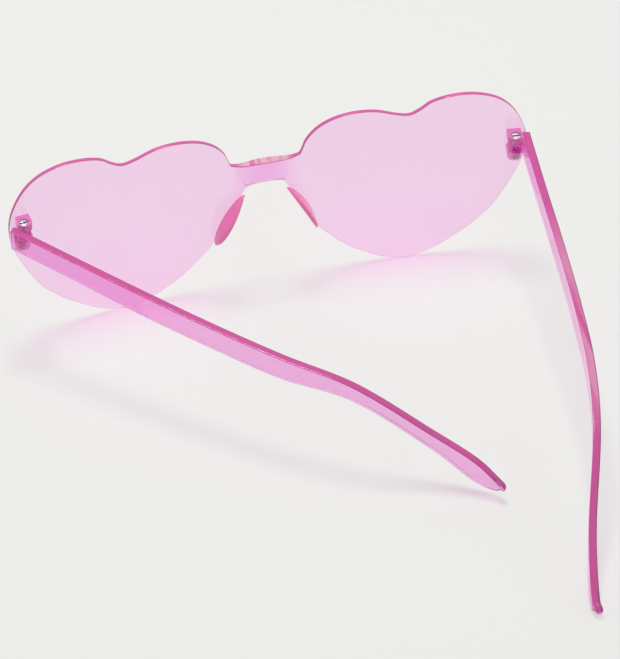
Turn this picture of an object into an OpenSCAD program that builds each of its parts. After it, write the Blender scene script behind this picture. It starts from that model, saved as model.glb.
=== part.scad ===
// Heart shaped sunglasses: a rimless one-piece tinted front with two bonded nose pads and a bonded
// hinge bracket on each side, and two temples that fold about vertical hinge screws.
// The pieces are drawn with the front upright and facing -Y, the temples towards +Y, and the
// bridge over the origin. The whole is then tipped back until the heart tips and the tip of the
// right temple stand on the ground, z = 0. The wearer's left side is +X.

/* [Front] */
// Width of one heart, from its nose side to its outer side
lens_w = 67; // [55:0.1:80]
// Height of one heart, from its tip to its higher lobe
lens_h = 60.5; // [50:0.1:70]
// Thickness of the tinted sheet
lens_t = 1.2; // [1:0.1:2]
// Radius that the rear face of the front is bent to
lens_bend_r = 480; // [350:10:900]
// Gap between the hearts just below the bridge
nose_gap = 12.8; // [9:0.1:18]

/* [Bridge] */
// Height of the bridge's underside above the heart tips
bridge_z = 37.7; // [35:0.1:40]
// Height of the bridge bar in its middle
bridge_h = 7; // [5:0.1:9]
// Thickness of the bridge bar in its middle, front to rear
bridge_t = 2.6; // [2:0.1:4]

/* [Nose pads] */
// Length of a pad along the edge of the heart
pad_len = 19.4; // [12:0.1:21]
// How far a pad stands out behind the front in its middle
pad_depth = 5.6; // [3:0.1:7]
// Thickness of a pad in its middle
pad_t = 2.8; // [1.6:0.1:4]
// Thickness of a pad along its rim
pad_rim_t = 0.8; // [0.5:0.1:1.4]
// How far a pad's flat side stands out of the edge of the heart, towards the nose
pad_in = 0.7; // [0:0.1:1.2]
// Angle that a pad leans outwards towards its rear edge
pad_flare = 14; // [0:1:25]

/* [Hinges] */
// Distance of the hinge bracket's middle in from the outer side of the front
bracket_in = 3.4; // [3:0.1:6]
// Height of the bracket's top above the heart tips
bracket_z = 46.4; // [42:0.1:48]
// Thickness of the bracket's plate against the front
bracket_t = 1.2; // [1:0.1:1.4]
// Diameter of the round rear of the hinge knuckles
knuckle_d = 3.8; // [3.6:0.1:4.2]
// How much further the knuckles reach towards the nose than their round rear
knuckle_side = 0.4; // [0.2:0.1:1.2]
// Distance of the hinge screw's axis behind the rear face of the front
pivot_depth = 2.7; // [2.6:0.1:3.4]
// Height of the upper knuckle
knuckle_top_h = 2.4; // [2:0.1:3]
// Height of the temple's tongue between the knuckles
tongue_h = 2.8; // [2.2:0.1:3.2]
// Height of the lower knuckle
knuckle_low_h = 2.4; // [2:0.1:3]

/* [Screws] */
// Diameter of the hinge screw's shank
shank_d = 1.4; // [1.2:0.1:1.6]
// Diameter of the hinge screw's head
head_d = 2.4; // [2.1:0.1:2.6]
// Thickness of the hinge screw's head
head_t = 0.7; // [0.5:0.1:0.8]
// Width of the slot in the screw's head
slot_w = 0.4; // [0.3:0.05:0.5]
// Diameter of the recess for the screw's head
recess_d = 2.8; // [2.7:0.1:3]
// Depth of the recess for the screw's head
recess_t = 0.9; // [0.8:0.1:1.1]

/* [Temples] */
// Length of a temple from the hinge axis to its tip
temple_len = 145.3; // [125:0.1:160]
// Thickness of a temple, inside to outside
temple_t = 2.2; // [1.6:0.1:3]
// Greatest height of a temple
temple_h = 7.6; // [6.5:0.1:9]
// Fall of a temple's upper edge from the hinge to the tip
temple_fall = 32.7; // [25:0.1:36]
// How far a temple bows outwards from its front end
temple_bow = 3.5; // [1:0.1:6]
// Distance of the temple's upper edge below the bracket's top, at the hinge
temple_drop = 0.8; // [0:0.1:1.6]

/* [Pose] */
// Angle that the left temple is folded in from fully open
fold_left = 48; // [0:1:84]
// Angle that the right temple is folded in from fully open
fold_right = 7; // [0:1:40]

/* [Hidden] */

// Facets of small round features, and of the large cylinders that bend the front
$fn = 48;
bend_fn = 720;
pad_fn = 300;

// Overrun of a cut past the face that it opens
over = 1;
// Depth that fused shapes of one piece reach into each other
bite = 0.2;
// Radial clearance of the hinge screw in the tongue that turns on it
run_fit = 0.05;
// Radial clearance of a screw in the piece that it holds
screw_fit = 0.02;
// Gap between a tongue and the bracket around it
knuckle_gap = 0.15;
// Gap between the round knuckles and the inner face of the temple
sweep_gap = 0.2;
// Gap between the rear face of the front and the end of an open temple
front_gap = 0.2;
// Points that each stretch of a smooth outline is split into
outline_steps = 6;

// Right half of the front's outline, from the nose side of the heart round its tip and lobes to
// the bridge's upper corner: across in shares of lens_w, up in shares of lens_h
heart_shares = [
    [0.000, 0.579], [0.116, 0.314], [0.198, 0.200], [0.269, 0.121], [0.325, 0.079],
    [0.367, 0.050], [0.420, 0.021], [0.506, 0.000], [0.578, 0.021], [0.651, 0.060],
    [0.761, 0.152], [0.822, 0.220], [0.882, 0.306], [0.957, 0.478], [0.995, 0.617],
    [0.994, 0.752], [0.948, 0.877], [0.879, 0.958], [0.783, 0.997], [0.687, 0.998],
    [0.604, 0.974], [0.552, 0.931], [0.509, 0.908], [0.457, 0.919], [0.369, 0.954],
    [0.278, 0.962], [0.192, 0.944], [0.125, 0.903], [0.078, 0.841]];
// Corners between the heart and the bridge: across in shares of half the gap, up from the
// bridge's underside in shares of its height
bridge_low_shares = [[0.00, 0.00], [0.45, -0.02], [0.80, -0.11]];
bridge_top_shares = [[1.56, 1.25], [1.38, 1.13], [0.95, 1.02], [0.00, 1.00]];
// The temple, from its front end to the middle of its round tip: along in shares of the reach, then
// the upper edge's fall, the height and the outward bow in shares of temple_fall, temple_h and
// temple_bow
temple_shares = [
    [-0.025, 0.000, 0.910, 0.00], [0.000, 0.008, 0.880, 0.00], [0.134, 0.056, 0.915, 0.30],
    [0.279, 0.101, 1.000, 0.66], [0.424, 0.148, 1.000, 0.91], [0.569, 0.202, 0.980, 0.91],
    [0.714, 0.299, 0.690, 0.29], [0.859, 0.656, 0.720, -0.94], [0.937, 0.832, 0.985, -1.40],
    [0.983, 0.968, 0.610, -1.49], [1.000, 1.000, 0.000, -1.37]];
// Place of a pad's middle between the first two points of the heart
pad_share = 0.56;

// Point between b and c of a smooth curve through a, b, c and d
function curve_point(a, b, c, d, t) =
    (2 * b + (c - a) * t + (2 * a - 5 * b + 4 * c - d) * t * t
     + (3 * b - 3 * c + d - a) * t * t * t) / 2;
// Smooth open path through a list of points
function smooth_path(p) = let (last = len(p) - 1)
    concat([for (i = [0:last - 1], k = [0:outline_steps - 1])
                curve_point(i == 0 ? 2 * p[0] - p[1] : p[i - 1], p[i], p[i + 1],
                            i == last - 1 ? 2 * p[last] - p[last - 1] : p[i + 2],
                            k / outline_steps)],
           [p[last]]);
// Depth of the front's rear face at a distance from the middle
function rear_y(x) = lens_bend_r - sqrt(lens_bend_r * lens_bend_r - x * x);
// A list in the opposite order
function reversed(p) = [for (i = [len(p) - 1:-1:0]) p[i]];

// Outline of the front
half_w = nose_gap / 2 + lens_w;
heart_points = [for (s = heart_shares) [nose_gap / 2 + s[0] * lens_w, s[1] * lens_h]];
bridge_low = [for (s = bridge_low_shares) [s[0] * nose_gap / 2, bridge_z + s[1] * bridge_h]];
bridge_top = [for (s = bridge_top_shares) [s[0] * nose_gap / 2, bridge_z + s[1] * bridge_h]];
half_outline = smooth_path(concat(bridge_low, heart_points, bridge_top));
full_outline = concat(half_outline,
                      reversed([for (i = [1:len(half_outline) - 2])
                                    [-half_outline[i][0], half_outline[i][1]]]));

// Nose pads lie along the edge between the first two points of the heart
pad_run = heart_points[0] - heart_points[1];
pad_middle = heart_points[0] - pad_share * pad_run;
pad_tilt = atan2(-pad_run[0], pad_run[1]);
pad_disc_r = (pad_len * pad_len / 4 + pad_depth * pad_depth) / (2 * pad_depth);
pad_swell = pad_t - pad_rim_t;
pad_dome_r = (pad_disc_r * pad_disc_r + pad_swell * pad_swell) / (2 * pad_swell);

// Hinges: the bracket stands square to the bent front
bracket_x = half_w - bracket_in;
bracket_turn = asin(bracket_x / lens_bend_r);
hinge_x = bracket_x - pivot_depth * sin(bracket_turn);
hinge_y = rear_y(bracket_x) + pivot_depth * cos(bracket_turn);
tongue_z = bracket_z - knuckle_top_h - knuckle_gap - tongue_h;
knuckle_low_z = tongue_z - knuckle_gap - knuckle_low_h;

// Temple: its inner face passes just outside the knuckles, and it ends in a round tip
temple_inner = knuckle_d / 2 + sweep_gap;
temple_front_x = temple_inner + temple_t / 2;
temple_top_z = bracket_z - temple_drop;
tip_r = temple_t / 2;
temple_reach = temple_len - tip_r;
temple_path = smooth_path([for (s = temple_shares)
    [s[0] * temple_reach, temple_top_z - s[1] * temple_fall, max(s[2] * temple_h, 2 * tip_r),
     temple_front_x + s[3] * temple_bow]]);
temple_end = temple_path[len(temple_path) - 1];

// Rest: the underside of the right temple and the heart tips share the ground
heart_tip = [for (p = heart_points) if (p[1] == 0) p][0];
rest_pitch = min([for (p = temple_path) if (p[0] > temple_reach / 2)
    atan2(p[1] - p[2], hinge_y + p[0] * cos(fold_right) + p[3] * sin(fold_right)
                       - rear_y(heart_tip[0]))]);
rest_lift = rear_y(heart_tip[0]) * sin(rest_pitch);

// Sets the upright glasses back on the ground
module at_rest() translate([0, 0, rest_lift]) rotate([-rest_pitch, 0, 0]) children();

// The same piece on the left (1) or the right (-1)
module on_side(side) mirror([side < 0 ? 1 : 0, 0, 0]) children();

// Space behind the rear face of the front
module behind_front() translate([0, lens_bend_r, -over])
    cylinder(r = lens_bend_r, h = lens_h + 2 * over, $fn = bend_fn);

// Place on the rear face where the bracket's middle lies, with +Y square to the face
module at_bracket() translate([bracket_x, rear_y(bracket_x), 0]) rotate([0, 0, bracket_turn])
    children();

// Place on the hinge axis, with the temple folded in by an angle
module at_hinge(fold) translate([hinge_x, hinge_y, 0]) rotate([0, 0, fold]) children();

// One-piece front: a bent sheet cut to the outline, thicker in the bridge
module lens_shield() color([0.95, 0.7, 0.88, 0.6]) at_rest() {
    intersection() {
        outline_block();
        difference() {
            translate([0, lens_bend_r, -over])
                cylinder(r = lens_bend_r + lens_t, h = lens_h + 2 * over, $fn = bend_fn);
            translate([0, lens_bend_r, -2 * over])
                cylinder(r = lens_bend_r, h = lens_h + 4 * over, $fn = bend_fn);
        }
    }
    bridge_swell();
}

// Upright block with the outline of the front
module outline_block() rotate([90, 0, 0])
    linear_extrude(height = half_w, center = true) polygon(full_outline);

// Front side of the bridge, swelling forwards in the middle
module bridge_swell() {
    reach = bridge_top[0][0];
    rise = bridge_t - lens_t;
    swell_r = (reach * reach + rise * rise) / (2 * rise);
    intersection() {
        outline_block();
        translate([0, swell_r - bridge_t, bridge_z - bridge_h])
            cylinder(r = swell_r, h = 3 * bridge_h, $fn = 2 * $fn);
        translate([-reach, -bridge_t - over, bridge_z - bridge_h / 4])
            cube([2 * reach, bridge_t + over - lens_t / 2, 2 * bridge_h]);
    }
}

// Nose pad: a half-moon with a flat side towards the nose and a swelling outer side
module nose_pad(side) color([0.89, 0.4, 0.65, 0.85]) at_rest() on_side(side) intersection() {
    translate([pad_middle[0], rear_y(pad_middle[0]), pad_middle[1]])
        rotate([0, -pad_tilt, 0]) rotate([0, 0, -pad_flare]) rotate([0, 90, 0])
            translate([0, pad_depth - pad_disc_r, -pad_in]) intersection() {
                cylinder(r = pad_disc_r, h = pad_t, $fn = pad_fn);
                translate([0, 0, pad_t - pad_dome_r]) sphere(r = pad_dome_r, $fn = pad_fn);
            }
    behind_front();
}

// Hinge bracket: a plate against the front, and two knuckles with room for the tongue between
module hinge_bracket(side) color([0.87, 0.36, 0.63, 0.85]) at_rest() on_side(side)
    difference() {
        intersection() {
            at_bracket() union() {
                translate([-knuckle_d / 2, -bite, knuckle_low_z])
                    cube([knuckle_d, bracket_t + bite, bracket_z - knuckle_low_z]);
                knuckle(bracket_z - knuckle_top_h, knuckle_top_h);
                knuckle(knuckle_low_z, knuckle_low_h);
            }
            behind_front();
        }
        at_bracket() translate([0, pivot_depth, 0]) {
            translate([0, 0, tongue_z - knuckle_gap])
                cylinder(d = knuckle_d + 2 * knuckle_gap, h = tongue_h + 2 * knuckle_gap);
            translate([0, 0, knuckle_low_z - over])
                cylinder(d = shank_d + 2 * screw_fit, h = bracket_z - knuckle_low_z + over);
            translate([0, 0, bracket_z - recess_t]) cylinder(d = recess_d, h = recess_t + over);
        }
        beside_temple();
    }

// Space that an open temple takes beside the bracket, with the sweep gap
module beside_temple() at_hinge(0)
    translate([temple_inner - sweep_gap, -2 * pivot_depth, 0])
        cube([knuckle_d, 2 * pivot_depth, 2 * bracket_z]);

// Knuckle that stands out square from the plate and ends in a round rear
module knuckle(z, h) translate([0, 0, z]) linear_extrude(height = h) {
    for (shift = [0, -knuckle_side]) translate([shift, pivot_depth]) circle(d = knuckle_d);
    translate([-knuckle_side, -bite]) square([knuckle_side, pivot_depth + knuckle_d / 2 + bite]);
    translate([-knuckle_side - knuckle_d / 2, -bite])
        square([knuckle_side + knuckle_d, pivot_depth + bite]);
}

// Screw that the temple turns on, with its head sunk in the upper knuckle
module hinge_screw(side) color([0.7, 0.7, 0.72]) at_rest() on_side(side) at_bracket()
    translate([0, pivot_depth, bracket_z - recess_t]) difference() {
        union() {
            cylinder(d = head_d, h = head_t);
            translate([0, 0, knuckle_low_z - bracket_z + recess_t])
                cylinder(d = shank_d, h = bracket_z - recess_t - knuckle_low_z + bite);
        }
        screw_slot();
    }

// Driver slot across a head that stands on z = 0
module screw_slot() translate([-head_d, -slot_w / 2, head_t / 2])
    cube([2 * head_d, slot_w, head_t]);

// Temple: a thin bar with a tongue at the hinge, a long bow and a paddle behind the ear
module temple(side, fold) color([0.88, 0.5, 0.76, 0.8]) at_rest() on_side(side) at_hinge(fold)
    difference() {
        union() {
            difference() {
                intersection() {
                    temple_side_view();
                    temple_top_view();
                }
                ahead_of(front_gap);
            }
            difference() {
                temple_tongue();
                ahead_of(bracket_t + knuckle_gap);
            }
        }
        translate([0, 0, tongue_z - over])
            cylinder(d = shank_d + 2 * run_fit, h = tongue_h + 2 * over);
    }

// Room that an open temple leaves free ahead of a distance behind the front
module ahead_of(gap) rotate([0, 0, bracket_turn])
    translate([-temple_len, gap - pivot_depth - temple_len, 0])
        cube([2 * temple_len, temple_len, 2 * bracket_z]);

// Height of the temple along its length, seen from the side
module temple_side_view() rotate([90, 0, 90])
    linear_extrude(height = 2 * (temple_front_x + 2 * temple_bow + temple_t), center = true) {
        polygon(concat([for (p = temple_path) [p[0], p[1]]],
                       reversed([for (p = temple_path) [p[0], p[1] - p[2]]])));
        translate([temple_end[0], temple_end[1] - tip_r]) circle(r = tip_r);
    }

// Bow of the temple, seen from above
module temple_top_view() linear_extrude(height = 2 * bracket_z) {
    polygon(concat([for (p = temple_path) [p[3] + temple_t / 2, p[0]]],
                   reversed([for (p = temple_path) [p[3] - temple_t / 2, p[0]]])));
    translate([temple_end[3], temple_end[0]]) circle(r = tip_r);
}

// Tongue that reaches in from the temple to the hinge screw
module temple_tongue() translate([0, 0, tongue_z]) {
    cylinder(d = knuckle_d, h = tongue_h);
    translate([0, -knuckle_d / 2, 0])
        cube([temple_inner + bite, knuckle_d, tongue_h]);
}

lens_shield();
nose_pad(1);  // nose_pad_left
nose_pad(-1);  // nose_pad_right
hinge_bracket(1);  // hinge_bracket_left
hinge_bracket(-1);  // hinge_bracket_right
hinge_screw(1);  // hinge_screw_left
hinge_screw(-1);  // hinge_screw_right
temple(1, fold_left);  // temple_left
temple(-1, fold_right);  // temple_right
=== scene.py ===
"""Heart shaped sunglasses in clear pink plastic, standing folded on a pale table.

Every shape is drawn in millimetres with the front upright and facing -Y, the wearer's left side at
+X and the bridge over the origin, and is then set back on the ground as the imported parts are.
"""

import logging
import math
from collections.abc import Mapping
from dataclasses import dataclass
from enum import Enum

import bmesh
import bpy
import numpy as np
from mathutils import Matrix

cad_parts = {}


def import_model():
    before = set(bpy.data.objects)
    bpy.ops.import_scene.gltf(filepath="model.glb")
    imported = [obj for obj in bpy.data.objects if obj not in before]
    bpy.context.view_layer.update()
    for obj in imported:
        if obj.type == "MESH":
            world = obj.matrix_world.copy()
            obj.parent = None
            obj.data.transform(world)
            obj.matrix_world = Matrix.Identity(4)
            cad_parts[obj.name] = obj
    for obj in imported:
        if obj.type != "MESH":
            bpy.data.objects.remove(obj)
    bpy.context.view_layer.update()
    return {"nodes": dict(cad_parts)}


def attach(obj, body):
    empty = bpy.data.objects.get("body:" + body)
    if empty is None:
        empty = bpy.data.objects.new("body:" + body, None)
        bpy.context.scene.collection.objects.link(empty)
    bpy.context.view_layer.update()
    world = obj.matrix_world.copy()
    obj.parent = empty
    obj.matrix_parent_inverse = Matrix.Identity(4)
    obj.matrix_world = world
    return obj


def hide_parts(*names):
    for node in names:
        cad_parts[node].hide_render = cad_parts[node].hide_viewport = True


Array = np.ndarray
Socket = bpy.types.NodeSocket
Point = tuple[float, float, float]
Colour = tuple[float, float, float]
Pair = tuple[float, float]

MM = 0.001
WELD = 1e-7  # metres within which points are one
SHARP = math.radians(40.0)  # an edge that turns further stays crisp
log = logging.getLogger("sunglasses")


class Side(Enum):
    """Side of the wearer: the value is the sign of X on that side."""

    LEFT = 1
    RIGHT = -1

    def named(self, stem: str) -> str:
        """Name of a piece on this side."""
        return f"{stem}_{self.name.lower()}"


class Slot(Enum):
    """Material slots of the record."""

    FRONT = "tinted_lens"
    PAD = "pad_plastic"
    BRACKET = "bracket_plastic"
    SCREW = "screw_metal"
    TEMPLE = "temple_plastic"


# Numpy shapes


def smooth_path(points: Array, steps: int) -> Array:
    """Carries a smooth curve through points.

    Between two neighbours b and c, with a before and d after them, the curve is half of
    2b + (c - a)t + (2a - 5b + 4c - d)t^2 + (3b - 3c + d - a)t^3. Past either end the path goes
    straight on.

    Args:
        points: one row for each point.
        steps: pieces that each stretch is split into.

    Returns:
        The points of the curve, the last one included.
    """
    ends = np.vstack([2 * points[0] - points[1], points, 2 * points[-1] - points[-2]])
    a, b, c, d = (ends[i:len(ends) - 3 + i, None, :] for i in range(4))
    t = (np.arange(steps) / steps)[None, :, None]
    curve = (2 * b + (c - a) * t + (2 * a - 5 * b + 4 * c - d) * t**2
             + (3 * b - 3 * c + d - a) * t**3) / 2
    return np.vstack([curve.reshape(-1, points.shape[1]), points[-1:]])


def smooth_step(value: Array, low: float, high: float) -> Array:
    """Rises from 0 at low to 1 at high as 3t^2 - 2t^3, for each value."""
    t = np.clip((value - low) / (high - low), 0, 1)
    return t * t * (3 - 2 * t)


def rounded_box_loop(half_x: Array, half_z: Array, radius: Array, corner: int = 6,
                     nudge: float = 0.06) -> Array:
    """Loops round rounded rectangles, one for each row of sizes.

    Each corner is a quarter circle about the point that lies the radius in from both sides, with
    one more point just outside each of its ends so that the flat sides stay flat when shaded.

    Args:
        half_x: half the width of each loop.
        half_z: half the height of each loop.
        radius: corner radius of each loop.
        corner: points on each quarter circle.
        nudge: how far out the added points lie, in shares of the radius.

    Returns:
        Points as rows of loops, with X and Z in the last axis.
    """
    turn = np.linspace(0, math.pi / 2, corner)
    quarter = np.column_stack([np.cos(turn), np.sin(turn)])
    quarter = np.vstack([quarter[0] - [0, nudge], quarter, quarter[-1] - [nudge, 0]])
    loops = []
    for c, s in ((1, 0), (0, 1), (-1, 0), (0, -1)):
        quadrant = np.array([[c, s], [-s, c]])
        sign = np.array([1, 1]) @ quadrant
        centre = np.stack([sign[0] * (half_x - radius), sign[1] * (half_z - radius)], -1)
        loops.append(centre[:, None, :] + (quarter @ quadrant) * radius[:, None, None])
    return np.concatenate(loops, axis=1)


def grid_faces(rows: int, columns: int, start: int = 0, wrap_rows: bool = False,
               rings: bool = True) -> Array:
    """Quads of a grid.

    Args:
        rows: rows of the grid.
        columns: points on each row.
        start: index of the grid's first point.
        wrap_rows: whether the last row joins the first.
        rings: whether the last point of each row joins its first.

    Returns:
        Four point indices for each quad.
    """
    row = np.arange(rows if wrap_rows else rows - 1)[:, None]
    column = np.arange(columns if rings else columns - 1)[None, :]
    after, below = (column + 1) % columns, (row + 1) % rows
    corners = [row * columns + column, row * columns + after,
               below * columns + after, below * columns + column]
    return np.stack(np.broadcast_arrays(*corners), -1).reshape(-1, 4) + start


@dataclass(frozen=True)
class Rest:
    """How the upright glasses are set back on the ground."""

    pitch: float = math.radians(3.63504)
    lift: float = 0.107459

    def place(self, points: Array) -> Array:
        """Tips points back about the X axis, lifts them and turns them into metres.

        Args:
            points: rows of X, Y and Z in millimetres, upright.

        Returns:
            The rows in metres, at rest.
        """
        c, s = math.cos(self.pitch), math.sin(self.pitch)
        x, y, z = points.reshape(-1, 3).T
        return np.column_stack([x, y * c + z * s, z * c - y * s + self.lift]) * MM

    def upright(self, points: Array) -> Array:
        """Turns metres at rest back into upright millimetres, the opposite of place.

        Args:
            points: rows of X, Y and Z in metres, at rest.

        Returns:
            The rows in millimetres, upright.
        """
        c, s = math.cos(self.pitch), math.sin(self.pitch)
        x, y, z = (points / MM - [0, 0, self.lift]).T
        return np.column_stack([x, y * c - z * s, y * s + z * c])


REST = Rest()


def linked(name: str, data: bpy.types.ID) -> bpy.types.Object:
    """Adds an object to the scene.

    Args:
        name: its name.
        data: its mesh, light or camera.

    Returns:
        The object.
    """
    made = bpy.data.objects.new(name, data)
    bpy.context.scene.collection.objects.link(made)
    return made


def solid(name: str, points: Array, faces: Array) -> bpy.types.Object:
    """Makes a closed, outward facing object from points and quads.

    Args:
        name: name of the piece.
        points: rows of X, Y and Z in metres.
        faces: rows of four point indices. Points that coincide are joined.

    Returns:
        The object.
    """
    mesh = bpy.data.meshes.new(name)
    mesh.from_pydata(points.tolist(), [], faces.tolist())
    work = bmesh.new()
    work.from_mesh(mesh)
    bmesh.ops.remove_doubles(work, verts=work.verts, dist=WELD)
    bmesh.ops.recalc_face_normals(work, faces=work.faces)
    work.to_mesh(mesh)
    work.free()
    shade(mesh)
    return linked(name, mesh)


def shade(mesh: bpy.types.Mesh) -> None:
    """Shades a mesh smooth, apart from its sharp edges."""
    mesh.shade_smooth()
    mesh.set_sharp_from_angle(angle=SHARP)


def face_vectors(faces: bpy.types.bpy_prop_collection, key: str) -> Array:
    """Reads a vector of each face.

    Args:
        faces: a mesh's faces, or their normals.
        key: name of the vector.

    Returns:
        A row for each face.
    """
    rows = np.empty(len(faces) * 3, np.float32)
    faces.foreach_get(key, rows)
    return rows.reshape(-1, 3)


def put_mark(mesh: bpy.types.Mesh, name: str, value: Array) -> None:
    """Writes a number for each face, which the materials read by its name.

    Args:
        mesh: the mesh.
        name: name of the face attribute.
        value: the numbers.
    """
    mark = mesh.attributes.get(name)
    if mark is None:
        mark = mesh.attributes.new(name, "FLOAT", "FACE")
    mark.data.foreach_set("value", value.astype(np.float32))


@dataclass(frozen=True)
class Marks:
    """Face attributes that tell the plastic where to paint light and shade on its faces.

    Upward faces are marked "glow", for a painted glow that stands in for the light falling on
    them from above. Downward ones are marked "open": they get no painted glow and light passes
    them without being thrown back. Where a thickness is given, only narrow faces are marked, and
    the part of one that doesn't get the painted glow is open: a face is narrow when its normal
    lies away from the thickness, by smooth_step of 1 - |normal . thickness|. A rounded corner
    between a broad face and a narrow one is then marked "rim", for a painted dark line of shade,
    where its normal leans up towards -X or down towards +X.
    """

    thickness: Point | None = None
    rise: Pair = (0.12, 0.5)
    narrow: Pair = (0.2, 0.7)
    rim: float = 0.0
    corner_start: Pair = (0.1, 0.2)
    corner_end: Pair = (0.992, 0.9995)
    lean: Pair = (0.0, 0.05)

    def put(self, piece: bpy.types.Object) -> None:
        """Marks the faces of a piece.

        Args:
            piece: the piece.
        """
        mesh = piece.data
        normals = face_vectors(mesh.polygon_normals, "vector")
        # A direction has no lift, so what upright takes off is added
        normals = REST.upright(normals * MM + [0, 0, REST.lift * MM])
        # Painted glow on upward faces, standing in for light from above
        glow = smooth_step(normals[:, 2], *self.rise)
        clear = smooth_step(-normals[:, 2], *self.rise)
        rim = np.zeros(len(normals))
        if self.thickness is not None:
            across = np.abs(normals @ np.array(self.thickness))
            narrow = smooth_step(1 - across, *self.narrow)
            glow, clear = glow * narrow, (1 - glow) * narrow
            corner = smooth_step(across, *self.corner_start)
            corner *= 1 - smooth_step(across, *self.corner_end)
            # Painted dark line of shade on the leaning rounded corners
            rim = self.rim * corner * smooth_step(-normals[:, 0] * normals[:, 2], *self.lean)
        put_mark(mesh, "glow", np.maximum(glow, rim))
        put_mark(mesh, "open", clear * (1 - rim))
        put_mark(mesh, "rim", rim)


def fused(piece: bpy.types.Object, other: bpy.types.Object) -> None:
    """Fuses a second solid into a first one, which keeps its object.

    Args:
        piece: the object that stays.
        other: the object that is used up.
    """
    union = piece.modifiers.new("fuse", "BOOLEAN")
    union.operation, union.solver, union.object = "UNION", "EXACT", other
    graph = bpy.context.evaluated_depsgraph_get()
    mesh = bpy.data.meshes.new_from_object(piece.evaluated_get(graph))
    piece.modifiers.remove(union)
    piece.data = mesh
    mesh.name = piece.name
    bpy.data.objects.remove(other)
    shade(mesh)


# Finishes


class Value:
    """Number that runs through a material, which Python's operators add Math nodes to."""

    def __init__(self, graph: "Graph", socket: Socket) -> None:
        """Wraps an output of one of the graph's nodes."""
        self.graph = graph
        self.socket = socket

    def _maths(self, operation: str, first: "Value | float", second: "Value | float") -> "Value":
        """Adds one Math node on two values."""
        return self.graph.value("ShaderNodeMath", {"operation": operation}, {0: first, 1: second})

    def __add__(self, other: "Value | float") -> "Value":
        """Sum of the two."""
        return self._maths("ADD", self, other)

    def __sub__(self, other: "Value | float") -> "Value":
        """This less the other."""
        return self._maths("SUBTRACT", self, other)

    def __rsub__(self, other: "Value | float") -> "Value":
        """The other less this."""
        return self._maths("SUBTRACT", other, self)

    def __mul__(self, other: "Value | float") -> "Value":
        """Product of the two."""
        return self._maths("MULTIPLY", self, other)

    __radd__ = __add__
    __rmul__ = __mul__

    def between(self, low: float, high: float) -> "Value":
        """Share of the way from low to high, kept within 0 and 1 and eased at both ends."""
        return self.graph.value("ShaderNodeMapRange", {"interpolation_type": "SMOOTHSTEP"},
                                {"Value": self, "From Min": low, "From Max": high})


class Graph:
    """Nodes of one material."""

    def __init__(self, name: str, world: bpy.types.World | None = None) -> None:
        """Starts an empty material.

        Args:
            name: name of the material.
            world: the world that the nodes are for, in place of a material.
        """
        self.material = world or bpy.data.materials.new(name)
        self.material.use_nodes = True
        self.tree = self.material.node_tree
        self.tree.nodes.clear()

    def node(self, kind: str, settings: Mapping[str, object] | None = None,
             sockets: Mapping[str | int, object] | None = None) -> bpy.types.Node:
        """Adds a node.

        Args:
            kind: type of the node.
            settings: properties, which are set first.
            sockets: a value, a Value or an output for each named or numbered input.

        Returns:
            The node.
        """
        made = self.tree.nodes.new(kind)
        for key, setting in (settings or {}).items():
            setattr(made, key, setting)
        for key, value in (sockets or {}).items():
            if isinstance(value, Value):
                value = value.socket
            if isinstance(value, Socket):
                self.tree.links.new(value, made.inputs[key])
            else:
                made.inputs[key].default_value = value
        return made

    def value(self, kind: str, settings: Mapping[str, object] | None = None,
              sockets: Mapping[str | int, object] | None = None, output: str | int = 0) -> Value:
        """Adds a node as node does, and gives the output that is wanted."""
        return Value(self, self.node(kind, settings, sockets).outputs[output])

    def place(self, stretch: Point = (1.0, 1.0, 1.0), turn: Point = (0.0, 0.0, 0.0)) -> Socket:
        """Place on the piece in metres, scaled along each axis and turned by radians."""
        where = self.node("ShaderNodeTexCoord").outputs["Object"]
        return self.node("ShaderNodeMapping", None,
                         {"Vector": where, "Rotation": turn, "Scale": stretch}).outputs["Vector"]

    def noise(self, scale: float, detail: float, where: Socket | None = None) -> Value:
        """Soft random pattern between 0 and 1: waves to a metre, and octaves of detail."""
        return self.value(
            "ShaderNodeTexNoise", None,
            {"Vector": where or self.place(), "Scale": scale, "Detail": detail}, "Fac")

    def mark(self, name: str) -> Value:
        """Face attribute of the piece, which is 0 where the piece has none of that name."""
        return self.value("ShaderNodeAttribute", {"attribute_name": name}, None, "Fac")

    def mix(self, share: Value, low: Colour | Socket, high: Colour | Socket) -> Socket:
        """Colour between two: low where the share is 0, high where it is 1."""
        ends = {key: end if isinstance(end, Socket) else (*end, 1.0)
                for key, end in ((6, low), (7, high))}
        return self.node("ShaderNodeMix", {"data_type": "RGBA"}, {0: share} | ends).outputs[2]

    def finish(self, surface: Socket, volume: Socket | None = None) -> bpy.types.Material:
        """Ends the material.

        Args:
            surface: shader of the surface.
            volume: shader of the inside.

        Returns:
            The material.
        """
        ends = {"Surface": surface} | ({"Volume": volume} if volume else {})
        self.node("ShaderNodeOutputMaterial", None, ends)
        return self.material


@dataclass(frozen=True)
class Pattern:
    """Soft random pattern on a piece, 0 below low and 1 above high."""

    scale: float
    detail: float
    low: float
    high: float
    stretch: Point = (1.0, 1.0, 1.0)
    turn: Point = (0.0, 0.0, 0.0)

    def on(self, g: Graph) -> Value:
        """Adds the pattern to a material."""
        where = g.place(self.stretch, self.turn)
        return g.noise(self.scale, self.detail, where).between(self.low, self.high)


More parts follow.
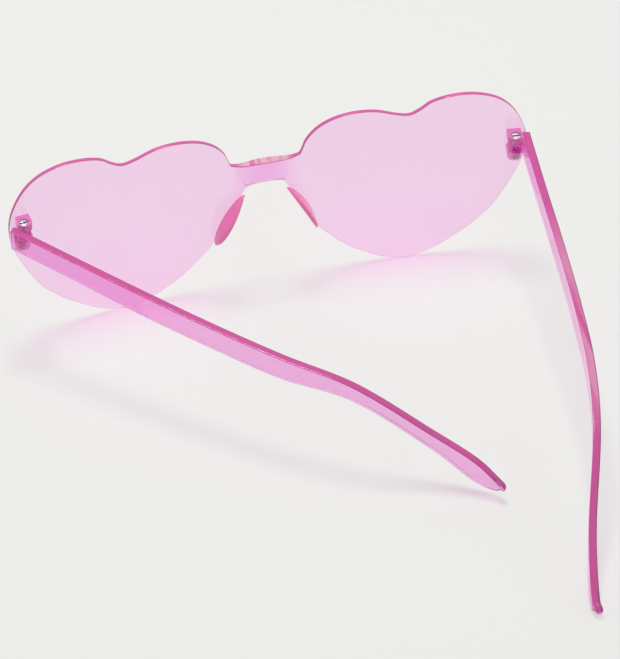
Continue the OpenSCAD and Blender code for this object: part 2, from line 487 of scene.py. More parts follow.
@dataclass(frozen=True)
class ClearPlastic:
    """Clear dyed plastic: polished, with faint flow waves, handling haze and hairline scratches.

    The dye takes a share of the light for each metre of its way through the plastic, so that a
    thin sheet is pale; a share of that, cast, tints the lamp's light on its way to the table.
    Faces marked "glow" are painted with a glow of light in a deep even pink of its own brightness,
    lit, which stands in for the light falling on the plastic from above; a share of this painted
    glow, body, shows on every face. The marks "pale" and "rim" paint paler stripes of light into
    this pink, or a dark line of shade. Faces marked "open" pass a share, opened, of what is
    behind them.
    """

    name: str
    dye: Colour
    # Colour of the painted glow, the share of it painted on every face and its brightness
    glow: Colour
    body: float = 0.0
    lit: float = 0.0
    ior: float = 1.58
    gloss: float = 0.02
    haze: float = 0.05
    wave_height: float = 0.00002
    wave_scale: float = 60.0
    let_through: float = 0.94
    cast: float = 0.25
    opened: float = 0.85
    open_tint: Colour = (0.96, 0.86, 0.93)
    # Colours painted as paler stripes of light and as a dark line of shade
    pale: Colour = (0.56, 0.33, 0.40)
    rim: Colour = (0.16, 0.04, 0.11)
    patches: float = 160.0
    patchy: float = 0.86
    smear_tint: Colour = (0.985, 0.965, 0.98)
    smear: Pattern = Pattern(38.0, 4.0, 0.45, 0.75)
    hair: Pattern = Pattern(70.0, 3.0, 0.66, 0.72, (1.0, 26.0, 9.0), (0.4, 0.9, 0.3))
    speck: Pattern = Pattern(1900.0, 1.0, 0.70, 0.78)
    smeared: float = 0.35
    scratched: float = 0.5
    specked: float = 0.6
    speck_height: float = 0.04
    waviness: float = 0.6
    glow_rough: float = 0.12
    glow_specular: float = 0.3
    # Pattern of the paler stripes of painted light
    painted_stripe: Pattern = Pattern(520.0, 2.0, 0.36, 0.54, (1.0, 0.15, 0.15))

    def made(self) -> bpy.types.Material:
        """Builds the material.

        Returns:
            The material.
        """
        g = Graph(self.name)
        smear, hair, speck = (kind.on(g) for kind in (self.smear, self.hair, self.speck))
        soiled = self.smeared * smear + self.scratched * hair + self.specked * speck
        rough = self.gloss + self.haze * soiled
        waves = g.noise(self.wave_scale, detail=1.0) + self.speck_height * speck
        bump = g.node("ShaderNodeBump", None, {
            "Height": waves, "Strength": self.waviness, "Distance": self.wave_height})
        shell = g.node("ShaderNodeBsdfPrincipled", None, {
            "Base Color": g.mix(smear, (1.0, 1.0, 1.0), self.smear_tint),
            "Roughness": rough, "IOR": self.ior, "Transmission Weight": 1.0,
            "Normal": bump.outputs[0]})
        clear = g.node("ShaderNodeBsdfTransparent", None,
                       {"Color": (self.let_through,) * 3 + (1.0,)})
        # Painted glow: a deep pink in random patches, with paler stripes of painted light and dark
        # lines of painted shade
        deep = tuple(self.patchy * c for c in self.glow)
        colour = g.mix(g.noise(self.patches, detail=2.0), self.glow, deep)
        colour = g.mix(g.mark("pale") * self.painted_stripe.on(g), colour, self.pale)
        colour = g.mix(g.mark("rim"), colour, self.rim)
        # Shader of the painted glow, which shines at its own brightness
        painted_glow_shader = g.node("ShaderNodeBsdfPrincipled", None, {
            "Base Color": colour, "Roughness": rough + self.glow_rough, "IOR": self.ior,
            "Specular IOR Level": self.glow_specular, "Emission Color": colour,
            "Emission Strength": self.lit, "Normal": bump.outputs[0]})
        lit = g.node("ShaderNodeMixShader", None, {
            0: 1.0 - (1.0 - g.mark("glow")) * (1.0 - self.body), 1: shell.outputs[0],
            2: painted_glow_shader.outputs[0]})
        free = g.node("ShaderNodeBsdfTransparent", None, {"Color": (*self.open_tint, 1.0)})
        inside = g.node("ShaderNodeMixShader", None, {
            0: g.mark("open") * self.opened, 1: lit.outputs[0], 2: free.outputs[0]})
        lamp = g.node("ShaderNodeLightPath").outputs["Is Shadow Ray"]
        surface = g.node("ShaderNodeMixShader", None,
                         {0: lamp, 1: inside.outputs[0], 2: clear.outputs[0]})
        depth = max(self.dye)
        tint = (*(1 - taken / depth for taken in self.dye), 1.0)
        seen, cast = (g.node("ShaderNodeVolumeAbsorption", None, {
            "Color": tint, "Density": depth * share}).outputs[0] for share in (1.0, self.cast))
        dye = g.node("ShaderNodeMixShader", None, {0: lamp, 1: seen, 2: cast})
        return g.finish(surface.outputs[0], dye.outputs[0])


@dataclass(frozen=True)
class PlatedSteel:
    """Bright plated steel with turning marks, a film in patches and painted shade in the slot."""

    name: str
    bright: Colour = (0.78, 0.78, 0.80)
    dull: Colour = (0.30, 0.29, 0.30)
    painted_slot_shade: Colour = (0.03, 0.025, 0.03)
    film: Pattern = Pattern(900.0, 4.0, 0.40, 0.70)
    turning: float = 2600.0
    turning_stretch: Point = (1.0, 1.0, 6.0)
    turning_height: float = 0.00002
    polish: float = 0.16
    film_rough: float = 0.22

    def made(self) -> bpy.types.Material:
        """Builds the material.

        Returns:
            The material.
        """
        g = Graph(self.name)
        film = self.film.on(g)
        marks = g.noise(self.turning, detail=2.0, where=g.place(self.turning_stretch))
        bump = g.node("ShaderNodeBump", None,
                      {"Height": marks, "Strength": 0.5, "Distance": self.turning_height})
        # The slot's faces are painted near black, as shade in the recess
        colour = g.mix(g.mark("slot"), g.mix(film, self.bright, self.dull), self.painted_slot_shade)
        metal = g.node("ShaderNodeBsdfPrincipled", None, {
            "Base Color": colour, "Metallic": 1.0,
            "Roughness": self.polish + self.film_rough * film, "Normal": bump.outputs[0]})
        return g.finish(metal.outputs[0])


@dataclass(frozen=True)
class MattTable:
    """Pale matt table top, with the even light of a wide white room as a faint glow."""

    name: str
    pale: Colour = (0.488, 0.492, 0.478)
    lit: float = 0.195
    drop: float = 0.992
    tone: Pair = (14.0, 3.0)

    def made(self) -> bpy.types.Material:
        """Builds the material.

        Returns:
            The material.
        """
        g = Graph(self.name)
        low = tuple(self.drop * c for c in self.pale)
        matt = g.node("ShaderNodeBsdfPrincipled", None, {
            "Base Color": g.mix(g.noise(*self.tone), low, self.pale), "Roughness": 0.9,
            "Specular IOR Level": 0.1, "Emission Color": (1.0, 1.0, 0.97, 1.0),
            "Emission Strength": self.lit})
        return g.finish(matt.outputs[0])


# Pieces


@dataclass
class Sheet:
    """The bent sheet that everything is fixed to: its rear face and how deep it lies."""

    bend_r: float = 480.0
    thick: float = 1.2

    def rear(self, x: Array | float) -> Array:
        """Depth of the rear face, a circle about a far axis behind the glasses."""
        return self.bend_r - np.sqrt(self.bend_r**2 - np.square(x))

    def front(self, x: Array | float) -> Array:
        """Depth of the front face, a circle about the same axis, larger by the thickness."""
        return self.bend_r - np.sqrt((self.bend_r + self.thick)**2 - np.square(x))


SHEET = Sheet()


def finished(piece: bpy.types.Object, body: str, slot: Slot, material: bpy.types.Material,
             marks: Marks | None, *nodes: str) -> None:
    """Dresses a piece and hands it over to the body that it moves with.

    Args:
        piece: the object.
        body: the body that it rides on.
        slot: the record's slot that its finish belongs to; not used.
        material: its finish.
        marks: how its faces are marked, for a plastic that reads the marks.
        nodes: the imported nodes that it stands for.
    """
    piece.data.materials.clear()
    piece.data.materials.append(material)
    if marks:
        marks.put(piece)
    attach(piece, body)
    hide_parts(*nodes)
    log.info("%s: %d faces, rides on %s", piece.name, len(piece.data.polygons), body)


@dataclass
class HeartFront:
    """Both hearts and the bridge: one bent sheet with polished edges, thicker in the bridge.

    The outline is given as in the part's source: the heart in shares of its width and height, and
    the bridge in shares of half the nose gap and of its own height.
    """

    width: float = 67.0
    height: float = 60.5
    nose_gap: float = 12.8
    bridge_z: float = 37.7
    bridge_h: float = 7.0
    bridge_t: float = 2.6
    fade_h: float = 1.6
    edge_r: float = 0.22
    edge_turns: int = 5
    steps: int = 10
    rings: int = 26
    last_rings: Pair = (0.985, 0.996)
    bridge_rows: int = 17
    first_rows: tuple[float, ...] = (0.0, 0.03, 0.06)
    # Strength, top and sideways fade of a painted dark line of shade on the bridge's lower edge,
    # then where its top gets paler stripes of painted light
    line: float = 0.35
    line_z: float = 0.42
    line_x: Pair = (4.5, 6.0)
    pale_swell: Pair = (0.1, 0.6)
    pale_depth: Pair = (0.25, 0.55)
    middle: Pair = (42.0, 38.0)
    heart: tuple[Pair, ...] = (
        (0.000, 0.579), (0.116, 0.314), (0.198, 0.200), (0.269, 0.121), (0.325, 0.079),
        (0.367, 0.050), (0.420, 0.021), (0.506, 0.000), (0.578, 0.021), (0.651, 0.060),
        (0.761, 0.152), (0.822, 0.220), (0.882, 0.306), (0.957, 0.478), (0.995, 0.617),
        (0.994, 0.752), (0.948, 0.877), (0.879, 0.958), (0.783, 0.997), (0.687, 0.998),
        (0.604, 0.974), (0.552, 0.931), (0.509, 0.908), (0.457, 0.919), (0.369, 0.954),
        (0.278, 0.962), (0.192, 0.944), (0.125, 0.903), (0.078, 0.841))
    bridge_low: tuple[Pair, ...] = ((0.00, 0.00), (0.45, -0.02), (0.80, -0.11))
    bridge_top: tuple[Pair, ...] = ((1.56, 1.25), (1.38, 1.13), (0.95, 1.02), (0.00, 1.00))

    def outline(self) -> tuple[Array, int]:
        """Closed outline, seen from the front.

        Returns:
            The points as X and Z, and how many of them make the half with X from 0 up.
        """
        gap = self.nose_gap / 2
        bridge = np.array([gap, self.bridge_h])
        foot = np.array([0.0, self.bridge_z])
        half = smooth_path(np.vstack([
            np.array(self.bridge_low) * bridge + foot,
            np.array(self.heart) * [self.width, self.height] + [gap, 0],
            np.array(self.bridge_top) * bridge + foot]), self.steps)
        return np.vstack([half, half[-2:0:-1] * [-1, 1]]), len(half)

    def swell(self, x: Array, z: Array) -> Array:
        """How far the bridge stands proud of the sheet.

        It is the rise times (1 - (x / reach)^2)^1.5, and eases away below the bridge.

        Args:
            x: distance from the middle.
            z: height.

        Returns:
            The extra thickness.
        """
        reach = self.bridge_top[0][0] * self.nose_gap / 2
        crown = np.clip(1 - (x / reach)**2, 0, 1)**1.5
        fade = smooth_step(z, self.bridge_z - self.fade_h * self.bridge_h, self.bridge_z)
        return (self.bridge_t - SHEET.thick) * crown * fade

    def skin(self, flat: Array, depth: float, from_front: bool) -> Array:
        """Lays points on the front or the rear face.

        Args:
            flat: rows of X and Z.
            depth: how far under that face they lie.
            from_front: whether the face is the front one.

        Returns:
            Rows of X, Y and Z.
        """
        x, z = flat.reshape(-1, 2).T
        y = SHEET.front(x) - self.swell(x, z) + depth if from_front else SHEET.rear(x) - depth
        return np.column_stack([x, y, z])

    def build(self) -> bpy.types.Object:
        """Makes the solid.

        The bridge of each face is a grid that goes by shares of the way from its lower outline to
        its upper one. A heart is a fan of rings: a share of the way from its middle to the loop
        round it. The edge is a quarter circle carried round the outline on each face.

        Returns:
            The front.
        """
        loop, half = self.outline()
        along = np.roll(loop, -1, axis=0) - np.roll(loop, 1, axis=0)
        inward = np.column_stack([-along[:, 1], along[:, 0]])
        inward /= np.linalg.norm(inward, axis=1)[:, None]
        turns = np.linspace(0, math.pi / 2, self.edge_turns)
        inset = loop + inward * self.edge_r
        end = len(self.bridge_low) * self.steps
        low, top = inset[:end + 1], inset[half - 1:half - 2 - end:-1]
        *first, next_row = self.first_rows
        across = np.append(first, np.linspace(next_row, 1, self.bridge_rows - len(first)))
        bridge = low + (top - low) * across[:, None, None]
        bridge = np.concatenate([bridge[:, :0:-1] * [-1, 1], bridge], axis=1)
        ring_loop = np.vstack([inset[end:half - end], bridge[-2:0:-1, -1]])
        inner, outer = self.last_rings
        shares = np.append(np.linspace(0, inner, self.rings), [outer, 1.0])
        fan = np.array(self.middle) + shares[:, None, None] * (ring_loop - np.array(self.middle))
        points, faces, count = [], [], 0
        for from_front in (True, False):
            for sign in (1, -1):
                points.append(self.skin(fan * [sign, 1], 0.0, from_front))
                faces.append(grid_faces(len(shares), len(ring_loop), count))
                count += len(points[-1])
            points.append(self.skin(bridge, 0.0, from_front))
            faces.append(grid_faces(*bridge.shape[:2], count, rings=False))
            count += len(points[-1])
        edge = [self.skin(loop + inward * self.edge_r * (1 - math.sin(t)),
                          self.edge_r * (1 - math.cos(t)), from_front)
                for from_front, order in ((True, turns), (False, turns[::-1])) for t in order]
        points += edge
        faces.append(grid_faces(len(edge), len(loop), count))
        return solid("heart_front", REST.place(np.vstack(points)), np.vstack(faces))

    def mark_bridge(self, piece: bpy.types.Object) -> None:
        """Marks the bridge's top "pale", by its share of the swell, and its lower edge "rim", as
        painted light and shade.

        Args:
            piece: the front, with its other marks put.
        """
        mesh = piece.data
        x, y, z = REST.upright(face_vectors(mesh.polygons, "center")).T
        inside = SHEET.rear(x) - y
        low = (z < self.bridge_z + self.line_z) & (inside < self.edge_r)
        # Painted shade: a dark line along the bridge's lower edge on the rear face
        line = self.line * low * (1 - smooth_step(np.abs(x), *self.line_x))
        for name, share in (("glow", 1.0), ("rim", 1.0), ("open", 0.0)):
            value = np.empty(len(line), np.float32)
            mesh.attributes[name].data.foreach_get("value", value)
            put_mark(mesh, name, value + line * (share - value))
        # Paler stripes of painted light on the bridge's swollen top
        swell = smooth_step(self.swell(x, z) / (self.bridge_t - SHEET.thick), *self.pale_swell)
        put_mark(mesh, "pale", swell * smooth_step(inside, *self.pale_depth))

    def add(self, plastic: bpy.types.Material) -> None:
        """Builds and dresses the front.

        Args:
            plastic: its finish.
        """
        piece = self.build()
        # Upward edges get a painted glow; downward ones stay open
        marks = Marks((0.0, 1.0, 0.0), rise=(-0.25, 0.25), narrow=(0.06, 0.2))
        finished(piece, "front", Slot.FRONT, plastic, marks, "lens_shield")
        self.mark_bridge(piece)


@dataclass
class NosePad:
    """Half-moon nose pad: a flat side towards the nose, a domed outer side and a round rim."""

    side: Side
    front: HeartFront
    length: float = 19.4
    depth: float = 5.6
    thick: float = 2.8
    rim: float = 0.8
    proud: float = 0.7
    flare: float = 14.0
    share: float = 0.56
    foot: float = 0.02
    end_power: int = 10
    stations: int = 72
    columns: int = 14
    rim_turns: int = 9

    def placed(self, along: Array, deep: Array, out: Array) -> Array:
        """Turns the pad's own measures into upright places.

        Args:
            along: along the edge of the heart.
            deep: behind the front.
            out: outwards from the flat side.

        Returns:
            Rows of X, Y and Z.
        """
        gap = self.front.nose_gap / 2
        first, second = np.array(self.front.heart[:2]) * [self.front.width, self.front.height]
        run = first - second
        middle = first - self.share * run + [gap, 0]
        tilt = math.atan2(-run[0], run[1])
        flare = math.radians(self.flare)
        x = (out - self.proud) * math.cos(flare) + deep * math.sin(flare)
        y = deep * math.cos(flare) - (out - self.proud) * math.sin(flare)
        place = np.stack([middle[0] + x * math.cos(tilt) - along * math.sin(tilt),
                          SHEET.rear(middle[0]) + y,
                          middle[1] + x * math.sin(tilt) + along * math.cos(tilt)], -1)
        return place.reshape(-1, 3)

    def build(self) -> bpy.types.Object:
        """Makes the solid, a row of closed cross sections.

        The rear edge is the arc of a circle through both ends. A section starts against the front,
        follows the flat side to the rim, goes round it by a half circle and comes back on the
        dome, whose thickness falls with the square of the distance from the circle's centre.

        Returns:
            The pad.
        """
        disc_r = (self.length**2 / 4 + self.depth**2) / (2 * self.depth)
        back = self.depth - disc_r
        u = np.cos(np.linspace(math.pi, 0, self.stations))[:, None]
        along = u * self.length / 2
        rear = np.sqrt(disc_r**2 - along**2) + back
        share = np.linspace(0, 1, self.columns)[None, :]
        turn = np.linspace(-math.pi / 2, math.pi / 2, self.rim_turns)[None, 1:-1]
        lean = math.tan(math.radians(self.flare))
        rim_r = np.minimum(self.rim, rear) / 2
        ease = np.sqrt(np.clip(1 - np.abs(u)**self.end_power, 0, 1))

        def dome(deep: Array) -> Array:
            """Thickness of the pad at a depth."""
            fall = (along**2 + (deep - back)**2) / disc_r**2
            return ((self.thick - self.rim) * (1 - fall) + self.rim) * ease

        flat_deep = self.foot + (rear - rim_r - self.foot) * share
        flat_out = np.zeros_like(flat_deep)
        rim_deep = rear - rim_r + rim_r * np.cos(turn)
        rim_out = self.rim / 2 * (1 + np.sin(turn)) * ease
        dome_deep = flat_deep[:, ::-1]
        dome_out = dome(dome_deep)
        deep = np.hstack([flat_deep, rim_deep, dome_deep])
        out = np.hstack([flat_out, rim_out, dome_out])
        deep = np.maximum(deep, self.foot + (out - self.proud) * lean)
        points = self.placed(np.broadcast_to(along, deep.shape), deep, out)
        return solid(self.side.named("saddle_pad"), REST.place(points * [self.side.value, 1, 1]),
                     grid_faces(self.stations, deep.shape[1]))

    def add(self, plastic: bpy.types.Material) -> None:
        """Builds and dresses the pad."""
        finished(self.build(), "front", Slot.PAD, plastic, Marks(), self.side.named("nose_pad"))


@dataclass
class Hinge:
    """Where a temple turns, and the bracket and the screw that hold it."""

    side: Side
    bracket_x: float = 70.0
    pivot_depth: float = 2.7
    bevel: float = 0.11
    stand_off: float = 0.02
    weld: float = 2e-7
    flat_turn: float = 0.5
    crisp_turn: float = 35.0
    slot_depth: Pair = (0.12, 0.5)
    slot_reach: float = 1.05

    @property
    def turn(self) -> float:
        """Angle that the bracket is turned by, so that it stands square to the sheet."""
        return math.asin(self.bracket_x / SHEET.bend_r)

    @property
    def axis(self) -> Pair:
        """Place of the screw's axis, seen from above."""
        return (self.bracket_x - self.pivot_depth * math.sin(self.turn),
                float(SHEET.rear(self.bracket_x)) + self.pivot_depth * math.cos(self.turn))

    def polished(self, node: bpy.types.Object, name: str, bevel: float) -> bpy.types.Object:
        """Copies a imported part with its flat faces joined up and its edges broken.

        Args:
            node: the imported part.
            name: name of the copy.
            bevel: width of the broken edges, in millimetres.

        Returns:
            The copy, drawn back by a hair from the sheet that it is bonded to.
        """
        mesh = node.data.copy()
        mesh.name = name
        work = bmesh.new()
        work.from_mesh(mesh)
        bmesh.ops.remove_doubles(work, verts=work.verts, dist=self.weld)
        bmesh.ops.dissolve_limit(work, angle_limit=math.radians(self.flat_turn),
                                 verts=work.verts, edges=work.edges)
        crisp = [edge for edge in work.edges if len(edge.link_faces) == 2
                 and edge.calc_face_angle() > math.radians(self.crisp_turn)]
        bmesh.ops.bevel(work, geom=crisp, offset=bevel * MM, segments=2, profile=0.5,
                        affect="EDGES", clamp_overlap=True)
        bmesh.ops.triangulate(work, faces=[face for face in work.faces if len(face.verts) > 4])
        work.to_mesh(mesh)
        work.free()
        places = np.empty(len(mesh.vertices) * 3)
        mesh.vertices.foreach_get("co", places)
        upright = REST.upright(places.reshape(-1, 3))
        upright[:, 1] = np.maximum(upright[:, 1], SHEET.rear(upright[:, 0]) + self.stand_off)
        mesh.vertices.foreach_set("co", REST.place(upright).ravel())
        shade(mesh)
        return linked(name, mesh)

    def mark_slot(self, pin: bpy.types.Object) -> None:
        """Marks the faces inside the screw's slot "slot", by how deep and how far in they lie.

        Args:
            pin: the screw.
        """
        x, y, z = REST.upright(face_vectors(pin.data.polygons, "center")).T
        depth = z.max() - z
        top, floor = self.slot_depth
        far = np.hypot(x - self.side.value * self.axis[0], y - self.axis[1])
        # These faces get painted shade
        put_mark(pin.data, "slot", (depth > top) & (depth < floor) & (far < self.slot_reach))

    def add(self, nodes: Mapping[str, bpy.types.Object], plastic: bpy.types.Material,
            steel: bpy.types.Material) -> None:
        """Builds and dresses the bracket and its screw.

        Args:
            nodes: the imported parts.
            plastic: finish of the bracket.
            steel: finish of the screw.
        """
        bracket, screw = self.side.named("hinge_bracket"), self.side.named("hinge_screw")
        block = self.polished(nodes[bracket], self.side.named("hinge_block"), self.bevel)
        finished(block, "front", Slot.BRACKET, plastic, Marks(), bracket)
        pin = self.polished(nodes[screw], self.side.named("pivot_screw"), self.bevel / 2)
        self.mark_slot(pin)
        finished(pin, "front", Slot.SCREW, steel, None, screw)


@dataclass
class Temple:
    """Side arm: a thin upright bar that bows outwards, drops behind the ear and ends in a paddle.

    Its stations are given as in the part's source: along in shares of the reach, then the upper
    edge's fall, the height and the outward bow in shares of fall, height and bow.
    """

    hinge: Hinge
    fold: float
    length: float = 145.3
    thick: float = 2.2
    height: float = 7.6
    fall: float = 32.7
    bow: float = 3.5
    top_z: float = 45.6
    inner: float = 2.1
    front_gap: float = 0.2
    edge_r: float = 0.34
    least_r: float = 0.01
    cap_run: float = 1.5
    tip_run: float = 6.0
    tip_fill: float = 0.96
    skew_run: Pair = (0.5, 4.0)
    turns: int = 6
    sliver: float = 1e-6
    tongue_z: float = 41.05
    tongue_h: float = 2.8
    tongue_d: float = 3.8
    tongue_bore: float = 1.5
    tongue_back: float = 1.35
    tongue_root: float = 0.2
    tongue_soft: float = 0.08
    tongue_turns: int = 96
    # Strength and stretch of the paler stripes of painted light along the temple
    painted_stripes: float = 0.0
    painted_stripe_rise: Pair = (30.0, 62.0)
    painted_stripe_fall: Pair = (96.0, 118.0)
    steps: int = 20
    stations: tuple[tuple[float, float, float, float], ...] = (
        (-0.025, 0.000, 0.910, 0.00), (0.000, 0.008, 0.880, 0.00), (0.134, 0.056, 0.915, 0.30),
        (0.279, 0.101, 1.000, 0.66), (0.424, 0.148, 1.000, 0.91), (0.569, 0.202, 0.980, 0.91),
        (0.714, 0.299, 0.690, 0.29), (0.859, 0.656, 0.720, -0.94), (0.937, 0.832, 0.985, -1.40),
        (0.983, 0.968, 0.610, -1.49), (1.000, 1.000, 0.000, -1.37))

    def placed(self, points: Array) -> Array:
        """Turns the temple about its hinge, and mirrors it for the right side.

        Args:
            points: X outwards from the hinge axis, Y along the temple and Z up, unfolded.

        Returns:
            The points at rest, in metres.
        """
        c, s = math.cos(math.radians(self.fold)), math.sin(math.radians(self.fold))
        x, y, z = points.reshape(-1, 3).T
        turned = np.column_stack([x * c - y * s + self.hinge.axis[0],
                                  x * s + y * c + self.hinge.axis[1], z])
        return REST.place(turned * [self.hinge.side.value, 1, 1])

    def front_end(self, x: Array) -> Array:
        """Place along the temple of its front end, which stands off the sheet by a small gap."""
        turn = self.hinge.turn
        return (self.front_gap - self.hinge.pivot_depth + x * math.sin(turn)) / math.cos(turn)

    def bar(self) -> bpy.types.Object:
        """Makes the bar: a rounded rectangle carried along the smooth path of the stations.

        The front end is a flat cap with a rounded edge, and the rear end is a round tip whose
        sections shrink with the cosine of an angle while they move on with its sine.

        Returns:
            The bar.
        """
        tip_r = self.thick / 2
        reach = self.length - tip_r
        shares = np.array(self.stations)
        path = smooth_path(np.column_stack([
            shares[:, 0] * reach, self.top_z - shares[:, 1] * self.fall,
            np.maximum(shares[:, 2] * self.height, 2 * tip_r),
            self.inner + tip_r + shares[:, 3] * self.bow]), self.steps)
        start = float(self.front_end(np.array(path[0, 3])))
        path = path[path[:, 0] > start + self.cap_run * self.edge_r]
        y, top, high, x = path.T
        high = np.maximum(high, 2 * tip_r)
        to_tip = smooth_step(y, reach - self.tip_run, reach)
        radius = self.edge_r + (self.tip_fill * tip_r - self.edge_r) * to_tip
        turns = np.linspace(0, math.pi / 2, self.turns)
        cap = self.edge_r * (1 - np.sin(turns))
        cap_y = start + self.edge_r * (1 - np.cos(turns))
        step = path[-1] - path[-2]
        step = step / math.hypot(step[0], step[1] - step[2] / 2)
        tip = tip_r * np.sin(turns[1:])
        shrink = np.cos(turns[1:])
        y = np.concatenate([[start], cap_y, y, y[-1] + step[0] * tip])
        mid = np.concatenate([[top[0] - high[0] / 2], np.full(len(turns), top[0] - high[0] / 2),
                              top - high / 2, top[-1] - high[-1] / 2 + step[1] * tip])
        x = np.concatenate([[x[0]], np.full(len(turns), x[0]), x, x[-1] + step[3] * tip])
        half_z = np.concatenate([[0], high[0] / 2 - cap, high / 2, high[-1] / 2 * shrink])
        half_x = np.concatenate([[0], tip_r - cap, np.full(len(high), tip_r), tip_r * shrink])
        radius = np.concatenate([[0], np.maximum(self.edge_r - cap, self.least_r), radius,
                                 radius[-1] * shrink])
        half_x, half_z, radius = (np.maximum(a, self.sliver) for a in (half_x, half_z, radius))
        loops = rounded_box_loop(half_x, half_z, np.minimum(radius, half_x))
        place = np.stack([x[:, None] + loops[..., 0],
                          np.broadcast_to(y[:, None], loops.shape[:2]),
                          mid[:, None] + loops[..., 1]], -1)
        skew = self.front_end(place[..., 0]) - start
        place[..., 1] += skew * (1 - smooth_step(y - start, *self.skew_run))[:, None]
        return solid(self.hinge.side.named("side_arm"), self.placed(place),
                     grid_faces(*place.shape[:2]))

    def tongue(self) -> bpy.types.Object:
        """Makes the tongue: a ring round the screw, drawn out to the bar and cut back in front.

        At each angle the outline lies at the nearest of the circle (on the bar's side, the two
        straight sides that touch it), the bar's inner face and the cut.

        Returns:
            The tongue.
        """
        angle = np.linspace(0, 2 * math.pi, self.tongue_turns, endpoint=False)
        c, s = np.cos(angle), np.sin(angle)
        round_r = self.tongue_d / 2
        outer = np.full_like(angle, round_r)
        right = c > self.sliver
        outer[right] = np.minimum((self.inner + self.tongue_root) / c[right],
                                  round_r / np.maximum(np.abs(s[right]), self.sliver))
        ahead = math.sin(self.hinge.turn) * c - math.cos(self.hinge.turn) * s
        outer = np.minimum(outer, self.tongue_back / np.maximum(ahead, self.sliver))
        bore, soft = np.full_like(angle, self.tongue_bore / 2), self.tongue_soft
        rows = [(outer - soft, 0.0), (outer, soft), (outer, self.tongue_h - soft),
                (outer - soft, self.tongue_h), (bore, self.tongue_h), (bore, 0.0)]
        place = np.stack([np.column_stack([r * c, r * s, np.full_like(angle, self.tongue_z + up)])
                          for r, up in rows])
        return solid("tongue", self.placed(place), grid_faces(*place.shape[:2], wrap_rows=True))

    def mark_painted_stripes(self, piece: bpy.types.Object) -> None:
        """Marks a stretch of the temple "pale", by how far behind the front each face lies.

        Args:
            piece: the temple.
        """
        y = REST.upright(face_vectors(piece.data.polygons, "center"))[:, 1]
        # Paler stripes of painted light between the two stretches
        stretch = smooth_step(y, *self.painted_stripe_rise) * (1 - smooth_step(y, *self.painted_stripe_fall))
        put_mark(piece.data, "pale", self.painted_stripes * stretch)

    def add(self, plastic: bpy.types.Material) -> None:
        """Builds and dresses the temple.

        Args:
            plastic: its finish.
        """
        piece = self.bar()
        fused(piece, self.tongue())
        node = self.hinge.side.named("temple")
        fold = math.radians(self.fold)
        thickness = (self.hinge.side.value * math.cos(fold), math.sin(fold), 0.0)
        # Upward narrow faces get a painted glow, and leaning rounded corners a painted dark line
        # of shade
        marks = Marks(thickness, rise=(0.0, 0.5), narrow=(0.12, 0.4), rim=0.8)
        finished(piece, node, Slot.TEMPLE, plastic, marks, node)
        self.mark_painted_stripes(piece)


# Studio


def standing(*columns: Array | Point) -> Matrix:
    """Matrix of a lamp or a camera.

    Args:
        columns: its right, its up, its back and its place.

    Returns:
        The matrix.
    """
    axes = np.eye(4)
    axes[:3, :] = np.column_stack(columns)
    return Matrix(axes.tolist())


@dataclass(frozen=True)
class Lamp:
    """Soft square light above the table that faces a point of it."""

    name: str
    place: Point
    size: float
    watts: float
    target: Point = (0.0, 0.06, 0.0)

    def add(self) -> None:
        """Hangs the lamp."""
        light = bpy.data.lights.new(self.name, "AREA")
        light.shape, light.size, light.energy = "SQUARE", self.size, self.watts
        back = np.array(self.place) - np.array(self.target)
        back /= np.linalg.norm(back)
        right = np.cross((0.0, 1.0, 0.0), back)
        right /= np.linalg.norm(right)
        linked(self.name, light).matrix_world = standing(
            right, np.cross(back, right), back, self.place)


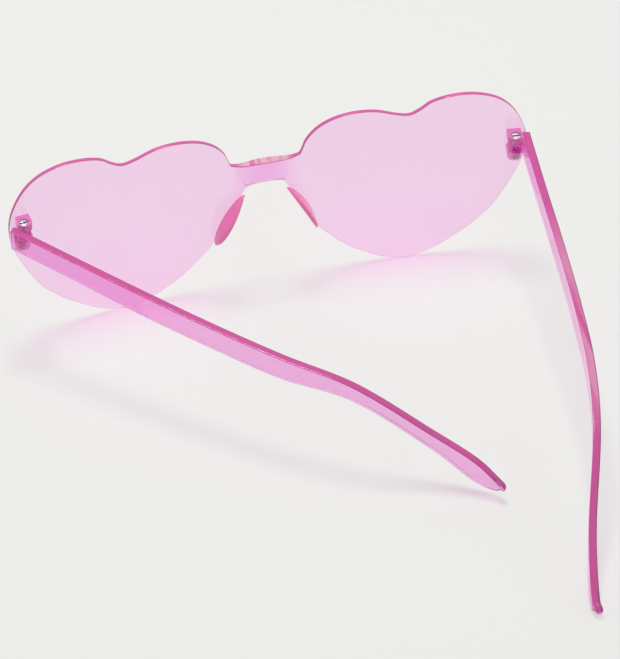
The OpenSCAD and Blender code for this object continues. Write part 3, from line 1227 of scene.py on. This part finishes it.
@dataclass(frozen=True)
class Studio:
    """Table top, even light from all round and the camera of the photograph."""

    lens: float = 238.93
    place: Point = (0.219454, 0.901289, 0.816055)
    right: Point = (-0.96644753, 0.25673337, -0.00819423)
    up: Point = (-0.17771943, -0.6452936, 0.74297509)
    back: Point = (0.18545881, 0.71950271, 0.66926892)
    sky: float = 0.93
    fill: float = 0.46
    table_half: float = 3.0
    lamps: tuple[Lamp, ...] = (Lamp("overhead", (0.03, -0.12, 1.50), 0.45, 20.5),)

    def add(self) -> None:
        """Builds the studio."""
        corners = self.table_half * np.array([[-1, -1, 0], [1, -1, 0], [1, 1, 0], [-1, 1, 0]])
        mesh = bpy.data.meshes.new("table")
        mesh.from_pydata(corners.tolist(), [], [(0, 1, 2, 3)])
        mesh.materials.append(MattTable("table_matt").made())
        linked("table", mesh)
        for lamp in self.lamps:
            lamp.add()
        world = bpy.data.worlds.new("even_light")
        world.use_nodes = True
        g = Graph("", world)
        rays = g.node("ShaderNodeLightPath").outputs
        seen = Value(g, rays["Is Camera Ray"]) + Value(g, rays["Is Glossy Ray"])
        seen = seen + Value(g, rays["Is Transmission Ray"])
        g.node("ShaderNodeOutputWorld", None, {"Surface": g.node("ShaderNodeBackground", None, {
            "Color": (1.0, 1.0, 1.0, 1.0),
            "Strength": self.fill + (self.sky - self.fill) * seen.between(0.0, 1.0)}).outputs[0]})
        scene = bpy.context.scene
        scene.world = world
        scene.view_settings.view_transform = "Standard"
        camera = bpy.data.cameras.new("camera")
        camera.sensor_width, camera.lens = 36.0, self.lens
        camera.clip_start, camera.clip_end = 0.01, 20.0
        scene.camera = linked("camera", camera)
        scene.camera.matrix_world = standing(self.right, self.up, self.back, self.place)
        log.info("table, camera, lamps: %d", len(self.lamps))


def main() -> None:
    """Builds the sunglasses on their table."""
    logging.basicConfig(level=logging.INFO, format="%(message)s")
    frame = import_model()
    Studio().add()
    front = HeartFront()
    long_painted_stripes = Pattern(520.0, 2.0, 0.36, 0.54, (0.5, 0.03, 0.03))
    # The front paints a deep pink on its upward edges as painted light
    front.add(ClearPlastic("front_pink_clear", (3.0, 242.0, 40.0), (0.56, 0.09, 0.29),
                           opened=1.0).made())
    # Pads and brackets are painted with a glow of light over most of their faces, shining at their
    # own brightness
    pad_plastic = ClearPlastic("pad_pink_clear", (10.0, 130.0, 60.0), (0.50, 0.11, 0.26),
                               body=0.78, lit=0.5, haze=0.10, opened=0.2).made()
    bracket_plastic = ClearPlastic("bracket_pink_clear", (4.0, 70.0, 26.0), (0.43, 0.115, 0.28),
                                   body=0.55, lit=0.5, opened=0.8).made()
    # The temples get a faint painted glow all over, more on their upward faces
    temple_plastic = ClearPlastic("temple_pink_clear", (1.0, 250.0, 44.0), (0.44, 0.06, 0.23),
                                  body=0.05, lit=0.14, let_through=0.80,
                                  open_tint=(1.0, 0.78, 0.98), painted_stripe=long_painted_stripes).made()
    steel = PlatedSteel("screw_plated_steel").made()
    # Only the right temple gets paler stripes of painted light
    for side, fold, painted_stripes in ((Side.LEFT, 48.0, 0.0), (Side.RIGHT, 7.0, 0.42)):
        hinge = Hinge(side)
        NosePad(side, front).add(pad_plastic)
        hinge.add(frame["nodes"], bracket_plastic, steel)
        Temple(hinge, fold, painted_stripes=painted_stripes).add(temple_plastic)


if __name__ == "__main__":
    main()
